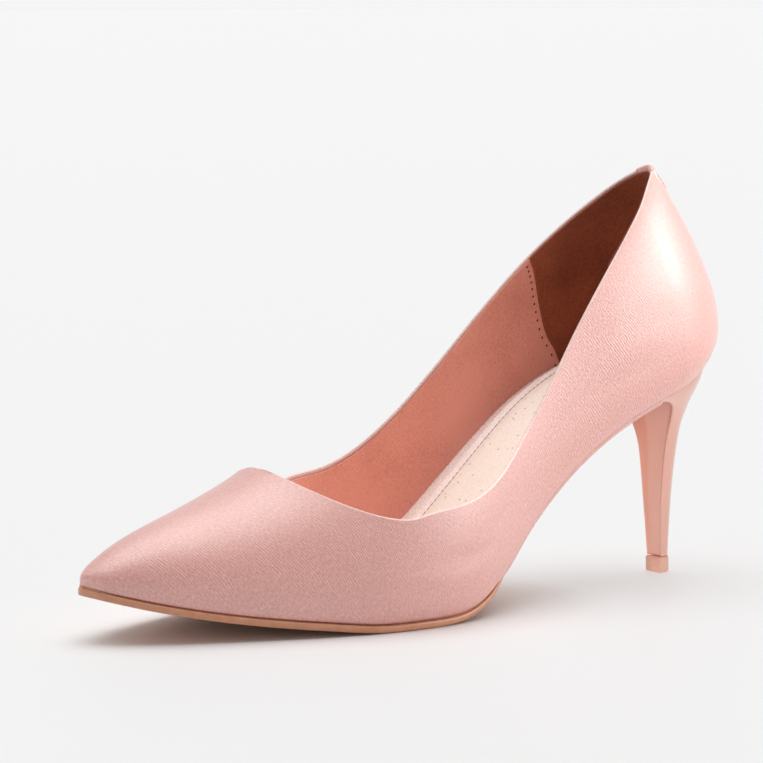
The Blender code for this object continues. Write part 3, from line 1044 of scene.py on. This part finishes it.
def pad_stitches(material):
    """Stitches along both edges of the padded sock."""
    spots = []
    for side in (1, -1):
        run = []
        for at in floor_places(PAD_END - 0.01):
            if at < 0.012:
                continue
            section = Section(at)
            edge = pad_edge(section, side)
            y = edge[1] - side * STITCH_IN
            run.append(np.array((edge[0], y, section.base + section.floor + SOCK_THREAD_HEIGHT)))
        for place, direction in walk(run, SOCK_THREAD.step):
            spots.append((place, direction, (0.0, 0.0, 1.0)))
    return lay_stitches("sock_stitches", spots, material, SOCK_THREAD)


def tab_stitches(material):
    """Stitches that follow the tab's round edge."""
    run = []
    for step in range(-36, 37):
        angle = math.pi / 2.0 * step / 40.0
        share = TAB_THREAD_SHARE * math.sin(angle)
        down = TAB_THREAD_SHARE * math.cos(angle)
        run.append(tab_point(share, down, TAB_RISE - TAB_SINK))
    spots = []
    for place, direction in walk(run, TAB_THREAD.step):
        outward = np.array((-1.0, place[1] * 60.0, 0.2))
        spots.append((place, direction, outward))
    return lay_stitches("tab_stitches", spots, material, TAB_THREAD)


# Needle holes along the grip: how many, first row of the wall, size, stretch and two heights
HOLES = 14
HOLE_ROW = 3.6
HOLE_SIZE = 0.00036
HOLE_STRETCH = 1.25
HOLE_RIM = 0.00009
HOLE_HUB = 0.00012


def grip_holes(material):
    """Needle holes in the lining along the grip's front edge."""
    shape = Shape()
    for side in (1, -1):
        for step in range(HOLES):
            row = HOLE_ROW + step
            at = GRIP_STATION(row) + HOLES_AHEAD
            section = Section(at)
            place = section.point(side, row, WALL)
            inward = np.array((0.0, -side, 0.0))
            run = unit(section.point(side, row + 0.2, WALL) - place)
            across = unit(np.cross(inward, run))
            hub = shape.add(place + inward * HOLE_HUB)
            ring = []
            for k in range(12):
                turn = 2.0 * math.pi * k / 12
                offset = run * math.cos(turn) * HOLE_STRETCH + across * math.sin(turn)
                ring.append(shape.add(place + offset * HOLE_SIZE + inward * HOLE_RIM))
            for k in range(12):
                shape.face((ring[k], ring[(k + 1) % 12], hub))
    return shape.make("needle_holes", [material])


class Nodes:
    """Small helper that adds and links the nodes of a material or a world."""

    def __init__(self, owner, shader):
        owner.use_nodes = True
        self.material = owner
        self.tree = owner.node_tree
        self.shader = self.tree.nodes[shader]

    def add(self, kind, **settings):
        node = self.tree.nodes.new(kind)
        for name, value in settings.items():
            setattr(node, name, value)
        return node

    def link(self, source, target):
        self.tree.links.new(source, target)

    def coordinates(self, output="Object"):
        return self.add("ShaderNodeTexCoord").outputs[output]

    def noise(self, scale, detail=2.0, source=None, roughness=0.5):
        node = self.add("ShaderNodeTexNoise")
        node.inputs["Scale"].default_value = scale
        node.inputs["Detail"].default_value = detail
        node.inputs["Roughness"].default_value = roughness
        self.link(source or self.coordinates(), node.inputs["Vector"])
        return node.outputs["Fac"]

    def feed(self, node, *values):
        """Numbers or sources for a node's first sockets."""
        for value, socket in zip(values, node.inputs):
            if isinstance(value, bpy.types.NodeSocket):
                self.link(value, socket)
            else:
                socket.default_value = value
        return node

    def math(self, operation, *values):
        return self.feed(self.add("ShaderNodeMath", operation=operation), *values).outputs[0]

    def vector(self, operation, *values):
        return self.feed(self.add("ShaderNodeVectorMath", operation=operation), *values)

    def split(self, source):
        return self.feed(self.add("ShaderNodeSeparateXYZ"), source).outputs

    def total(self, *parts):
        """Sum of several sources, each with its weight."""
        whole = None
        for source, weight in parts:
            if weight != 1.0:
                source = self.math("MULTIPLY", source, weight)
            whole = self.math("ADD", whole, source) if whole else source
        return whole

    def ramp(self, source, stops):
        node = self.add("ShaderNodeValToRGB")
        elements = node.color_ramp.elements
        while len(elements) < len(stops):
            elements.new(0.5)
        for element, (place, colour) in zip(elements, stops):
            element.position = place
            element.color = (*colour, 1.0)
        self.link(source, node.inputs["Fac"])
        return node.outputs["Color"]

    def span(self, source, low, high, to_low, to_high):
        node = self.add("ShaderNodeMapRange")
        return self.feed(node, source, low, high, to_low, to_high).outputs["Result"]

    def bump(self, height, strength, distance):
        node = self.add("ShaderNodeBump")
        node.inputs["Strength"].default_value = strength
        node.inputs["Distance"].default_value = distance
        self.link(height, node.inputs["Height"])
        self.link(node.outputs["Normal"], self.shader.inputs["Normal"])

    def colour(self, source):
        self.link(source, self.shader.inputs["Base Color"])

    def tones(self, source, dark, light, low=0.3, high=0.7):
        """Base colour that runs from dark to light with a source."""
        self.colour(self.ramp(source, ((low, dark), (high, light))))

    def rough(self, source, low, high):
        """Roughness that runs from low to high with a source."""
        self.link(self.span(source, 0.3, 0.7, low, high), self.shader.inputs["Roughness"])

    def set(self, name, value):
        self.shader.inputs[name].default_value = value


def new_material(name, colour, roughness):
    """Material with one colour and roughness, ready for more nodes."""
    nodes = Nodes(bpy.data.materials.new(name), "Principled BSDF")
    nodes.set("Base Color", (*colour, 1.0))
    nodes.set("Roughness", roughness)
    nodes.material.diffuse_color = (*colour, 1.0)
    return nodes


def satin_material(name, dark, middle, light):
    """Pink satin: fine slanting twill, grain and a broad pale sheen."""
    nodes = new_material(name, middle, 0.42)
    flat = nodes.add("ShaderNodeUVMap", uv_map="flat").outputs["UV"]
    along = nodes.add("ShaderNodeMapping", vector_type="TEXTURE")
    nodes.link(flat, along.inputs["Vector"])
    along.inputs["Rotation"].default_value = (0.0, 0.0, 0.50)
    along.inputs["Scale"].default_value = (0.00042, 0.0012, 1.0)
    streak = nodes.noise(1.0, 2.0, along.outputs["Vector"])
    across = nodes.split(along.outputs["Vector"])["X"]
    turns = nodes.math("MULTIPLY", across, 2.0 * math.pi * 0.56)
    wobble = nodes.math("MULTIPLY", nodes.noise(300.0, 2.0), 9.0)
    twill = nodes.math("SINE", nodes.math("ADD", turns, wobble))
    twill = nodes.math("MULTIPLY", twill, nodes.span(nodes.noise(70.0, 2.0), 0.4, 0.65, 0.0, 1.0))
    grain = nodes.noise(1500.0, 3.0, roughness=0.65)
    nodes.bump(nodes.total((twill, 0.24), (streak, 1.0), (grain, 0.9)), 0.65, 0.00022)
    broad = nodes.noise(34.0, 2.0)
    tone = nodes.total((streak, 0.6), (grain, 0.5), (twill, 0.06), (broad, 0.10))
    nodes.colour(
        nodes.ramp(
            tone,
            ((0.42, dark), (0.60, middle), (0.78, light)),
        )
    )
    nodes.rough(grain, 0.38, 0.52)
    nodes.set("Specular IOR Level", 1.0)
    nodes.set("Sheen Weight", 0.22)
    nodes.set("Sheen Roughness", 0.35)
    nodes.set("Sheen Tint", (1.0, 0.90, 0.86, 1.0))
    nodes.set("Coat Weight", 1.0)
    nodes.set("Coat Roughness", 0.46)
    nodes.set("Coat IOR", 1.8)
    return nodes.material


def leather_material(name, dark, light, roughness, scale):
    """Fine-grained leather with soft tone changes."""
    nodes = new_material(name, light, roughness)
    grain = nodes.add("ShaderNodeTexVoronoi")
    grain.inputs["Scale"].default_value = scale
    nodes.link(nodes.coordinates(), grain.inputs["Vector"])
    fine = nodes.noise(scale * 1.7, 3.0)
    nodes.bump(nodes.total((grain.outputs["Distance"], 1.0), (fine, 1.0)), 0.6, 0.00022)
    tone = nodes.total((nodes.noise(32.0, 3.0), 1.0), (fine, 0.9))
    nodes.tones(tone, dark, light, 0.65, 1.2)
    nodes.rough(fine, roughness - 0.06, roughness + 0.08)
    return nodes


def suede_material():
    """Napped suede of the heel grip."""
    nodes = new_material("grip_suede", (0.30, 0.11, 0.06), 0.95)
    nap = nodes.noise(1300.0, 4.0, roughness=0.7)
    nodes.bump(nap, 0.9, 0.0004)
    tone = nodes.total((nap, 1.0), (nodes.noise(60.0), 0.6))
    nodes.tones(tone, (0.15, 0.032, 0.010), (0.40, 0.100, 0.040), 0.50, 1.05)
    nodes.set("Sheen Weight", 0.12)
    nodes.set("Sheen Roughness", 0.6)
    nodes.set("Sheen Tint", (0.9, 0.45, 0.3, 1.0))
    return nodes.material


def sole_materials():
    """Groove, lip and underside of the sole. The groove is darker than the lip: painted shade in
    the recess under the upper.
    """
    made = []
    for name, dark, light, roughness in (
        ("sole_groove_painted_shade", (0.34, 0.12, 0.065), (0.56, 0.23, 0.135), 0.6),
        ("sole_lip", (0.52, 0.225, 0.125), (0.66, 0.31, 0.185), 0.38),
        ("sole_under", (0.50, 0.23, 0.13), (0.60, 0.30, 0.18), 0.55),
    ):
        nodes = new_material(name, light, roughness)
        mottle = nodes.noise(420.0, 4.0)
        nodes.tones(nodes.total((mottle, 0.6), (nodes.noise(45.0, 2.0), 0.4)), dark, light)
        nodes.rough(mottle, roughness - 0.08, roughness + 0.1)
        nodes.bump(mottle, 0.25, 0.0002)
        made.append(nodes.material)
    return made


def heel_material():
    """Glossy lacquer over moulded plastic."""
    nodes = new_material("heel_lacquer", (0.83, 0.42, 0.33), 0.20)
    nodes.tones(nodes.noise(30.0, 2.0), (0.92, 0.465, 0.36), (0.96, 0.515, 0.41))
    nodes.rough(nodes.noise(900.0, 3.0), 0.17, 0.27)
    nodes.bump(nodes.noise(160.0, 2.0), 0.12, 0.0002)
    nodes.set("Coat Weight", 0.6)
    nodes.set("Coat Roughness", 0.10)
    return nodes.material


def tip_material():
    """Matt rubber-like wearing piece."""
    nodes = new_material("tip_rubber", (0.84, 0.44, 0.34), 0.5)
    fine = nodes.noise(700.0, 4.0)
    nodes.tones(fine, (0.93, 0.50, 0.38), (0.97, 0.58, 0.45))
    nodes.rough(fine, 0.42, 0.6)
    nodes.bump(fine, 0.2, 0.0002)
    return nodes.material


def pearl_material():
    """Light pinkish cover of the insole with a soft shine."""
    nodes = leather_material("insole_pearl", (0.93, 0.80, 0.75), (0.97, 0.88, 0.84), 0.28, 900.0)
    nodes.set("Specular IOR Level", 0.7)
    return nodes.material


def pad_material():
    """Beige sock leather with fine grain and small dark pores."""
    nodes = new_material("sock_beige", (0.90, 0.79, 0.70), 0.62)
    fine = nodes.noise(1200.0, 4.0, roughness=0.65)
    pores = nodes.add("ShaderNodeTexVoronoi")
    pores.inputs["Scale"].default_value = 330.0
    nodes.link(nodes.coordinates(), pores.inputs["Vector"])
    pore = nodes.span(pores.outputs["Distance"], 0.06, 0.14, 0.0, 1.0)
    base = nodes.ramp(fine, ((0.3, (0.84, 0.71, 0.61)), (0.7, (0.94, 0.84, 0.75))))
    mix = nodes.add("ShaderNodeMix", data_type="RGBA")
    nodes.link(pore, mix.inputs["Factor"])
    mix.inputs[6].default_value = (0.36, 0.25, 0.17, 1.0)
    nodes.link(base, mix.inputs[7])
    nodes.colour(mix.outputs[2])
    nodes.bump(nodes.total((fine, 1.0), (pore, 0.8)), 0.4, 0.00025)
    return nodes.material


def thread_material(name, dark, light):
    nodes = new_material(name, light, 0.6)
    fine = nodes.noise(2600.0, 3.0)
    nodes.tones(fine, dark, light)
    nodes.bump(fine, 0.4, 0.0001)
    return nodes.material


# Floor: middle and half sizes of the place that takes the shade, and glow round it
SHADE_MIDDLE = (0.149, 0.0, 0.0)
SHADE_HALF = (0.085, 0.078)
SHADE_FADE = (0.70, 1.25)
FLOOR_GLOW = 0.455


def floor_material():
    """Plain pale floor, partly lit from within so that only the forefoot's shade shows."""
    nodes = new_material("pale_floor", (0.92, 0.92, 0.92), 0.55)
    nodes.set("Specular IOR Level", 0.2)
    offset = nodes.vector("SUBTRACT", nodes.coordinates(), SHADE_MIDDLE)
    scale = (1.0 / SHADE_HALF[0], 1.0 / SHADE_HALF[1], 0.0)
    stretch = nodes.vector("MULTIPLY", offset.outputs["Vector"], scale)
    far = nodes.vector("LENGTH", stretch.outputs["Vector"])
    plain = nodes.span(far.outputs["Value"], *SHADE_FADE, 0.0, 1.0)
    shade = nodes.ramp(plain, ((0.0, (0.92, 0.915, 0.91)), (1.0, (0.40, 0.40, 0.40))))
    nodes.colour(shade)
    nodes.set("Emission Color", (1.0, 1.0, 1.0, 1.0))
    glow = nodes.span(plain, 0.0, 1.0, 0.0, FLOOR_GLOW)
    nodes.link(glow, nodes.shader.inputs["Emission Strength"])
    return nodes.material


def make_floor(material):
    bpy.ops.mesh.primitive_plane_add(size=200.0, location=(0.0, 0.0, 0.0))
    floor = bpy.context.object
    floor.name = "floor"
    floor.data.materials.append(material)


# Camera fitted to the photograph: focal length in its pixels, turns, aim and distance
PHOTO_SIZE = 763.0
PHOTO_FOCAL = 3518.03
SENSOR = 36.0
YAW, PITCH, ROLL = 0.62874, 0.10698, -0.00363
AIM = (0.12851 - TIP_CENTRE, 0.0, 0.07086)
DISTANCE = 1.09499


def place_object(name, data, place, away):
    """Camera or lamp at a place that looks the opposite way to a direction."""
    body = bpy.data.objects.new(name, data)
    body.location = place
    body.rotation_mode = "QUATERNION"
    body.rotation_quaternion = (-away).to_track_quat("-Z", "Y")
    bpy.context.scene.collection.objects.link(body)
    return body


def add_camera():
    """Camera at the photograph's place."""
    data = bpy.data.cameras.new("camera")
    data.lens = SENSOR * PHOTO_FOCAL / PHOTO_SIZE
    data.sensor_width = SENSOR
    data.clip_start = 0.05
    data.clip_end = 200.0
    level = math.cos(PITCH)
    away = Vector((math.sin(YAW) * level, math.cos(YAW) * level, math.sin(PITCH)))
    camera = place_object("camera", data, Vector(AIM) + away * DISTANCE, away)
    camera.rotation_quaternion = camera.rotation_quaternion @ Quaternion((0.0, 0.0, 1.0), ROLL)
    bpy.context.scene.camera = camera


def add_sun(away, spread_deg, power):
    """Broad even light from a direction, like a large softbox far away."""
    data = bpy.data.lights.new("top", "SUN")
    data.angle = math.radians(spread_deg)
    data.energy = power
    place_object("top", data, Vector(away) * 3.0, Vector(away))


def add_softbox(place, aim, width, height, power, pieces):
    """Softbox that lights only some of the pieces."""
    data = bpy.data.lights.new("softbox", "AREA")
    data.shape = "RECTANGLE"
    data.size = width
    data.size_y = height
    data.energy = power
    data.color = (1.0, 0.99, 0.97)
    data.spread = math.radians(44.0)
    place = Vector(place)
    lamp = place_object("softbox", data, place, place - Vector(aim))
    lit = bpy.data.collections.new("lit")
    for piece in pieces:
        lit.objects.link(piece)
    lamp.light_linking.receiver_collection = lit


# Surround: brightness at two heights, and its dimming towards the viewer's side
HORIZON = (0.10, (0.915, 0.915, 0.915))
ZENITH = (0.65, (0.52, 0.52, 0.52))
VIEWER_DIMS = (-0.1, 0.5, 1.0, 0.5)


def sky(world):
    """Pale surround: brightest round the horizon, dimmer on the viewer's side."""
    nodes = Nodes(world, "Background")
    place = nodes.split(nodes.coordinates("Generated"))
    nodes.link(nodes.ramp(place["Z"], (HORIZON, ZENITH)), nodes.shader.inputs["Color"])
    nodes.link(nodes.span(place["Y"], *VIEWER_DIMS), nodes.shader.inputs["Strength"])


def light_studio(pieces):
    """Surround, one broad lamp and a softbox each for the cloth, the insole and the heel."""
    world = bpy.data.worlds.new("studio")
    sky(world)
    bpy.context.scene.world = world
    heel = [piece for piece in pieces if piece.name in ("heel_body", "heel_tip_piece")]
    bed = [piece for piece in pieces if piece.name in ("insole_cover", "sock_cover")]
    cloth = [piece for piece in pieces if piece not in heel]
    add_softbox((-0.25, 0.21, 0.26), (-0.015, 0.02, 0.105), 0.22, 0.44, 0.30, cloth)
    add_softbox((0.34, -0.02, 0.42), (0.08, 0.0, 0.04), 0.30, 0.30, 0.07, bed)
    add_softbox((0.25, 0.40, 0.12), (0.0, 0.0, 0.035), 0.25, 0.25, 0.06, heel)
    add_sun((-0.06, -0.10, 0.99), 60.0, 1.75)
    bpy.context.scene.view_settings.view_transform = "Standard"
    bpy.context.scene.view_settings.look = "None"


def dress():
    """All the visible pieces of the shoe, each over the solid that it replaces."""
    satin = satin_material(
        "satin_cloth", (0.61, 0.250, 0.212), (0.745, 0.340, 0.293), (0.87, 0.460, 0.405)
    )
    # Paler copy of the satin for the rolled top edge: a painted highlight along the top line.
    edge = satin_material(
        "satin_painted_highlight", (0.80, 0.50, 0.44), (0.92, 0.64, 0.58), (0.97, 0.76, 0.70)
    )
    lining = leather_material(
        "lining_leather", (0.80, 0.305, 0.225), (0.96, 0.425, 0.325), 0.46, 1000.0
    ).material
    upper = make_satin([satin, edge])
    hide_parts("upper")
    sole = make_sole(sole_materials())
    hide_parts("outsole")
    heel = make_heel([heel_material()])
    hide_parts("heel")
    tip = make_tip([tip_material()])
    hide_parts("heel_tip")
    pearl = pearl_material()
    insole = make_insole([pearl])
    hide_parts("insole")
    pad = make_pad([pad_material(), pearl])
    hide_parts("sock_pad")
    tab = make_tab([satin])
    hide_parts("back_tab")
    sock_thread = thread_material("sock_thread", (0.42, 0.31, 0.24), (0.60, 0.47, 0.38))
    satin_thread = thread_material("satin_thread", (0.72, 0.40, 0.35), (0.88, 0.56, 0.50))
    hole_shade = thread_material("hole_shade", (0.06, 0.02, 0.012), (0.10, 0.035, 0.02))
    return [
        upper,
        make_lining([lining]),
        make_grip([suede_material()]),
        sole,
        heel,
        tip,
        insole,
        pad,
        tab,
        pad_stitches(sock_thread),
        tab_stitches(satin_thread),
        grip_holes(hole_shade),
    ]


def main():
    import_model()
    pieces = dress()
    make_floor(floor_material())
    add_camera()
    light_studio(pieces)


main()
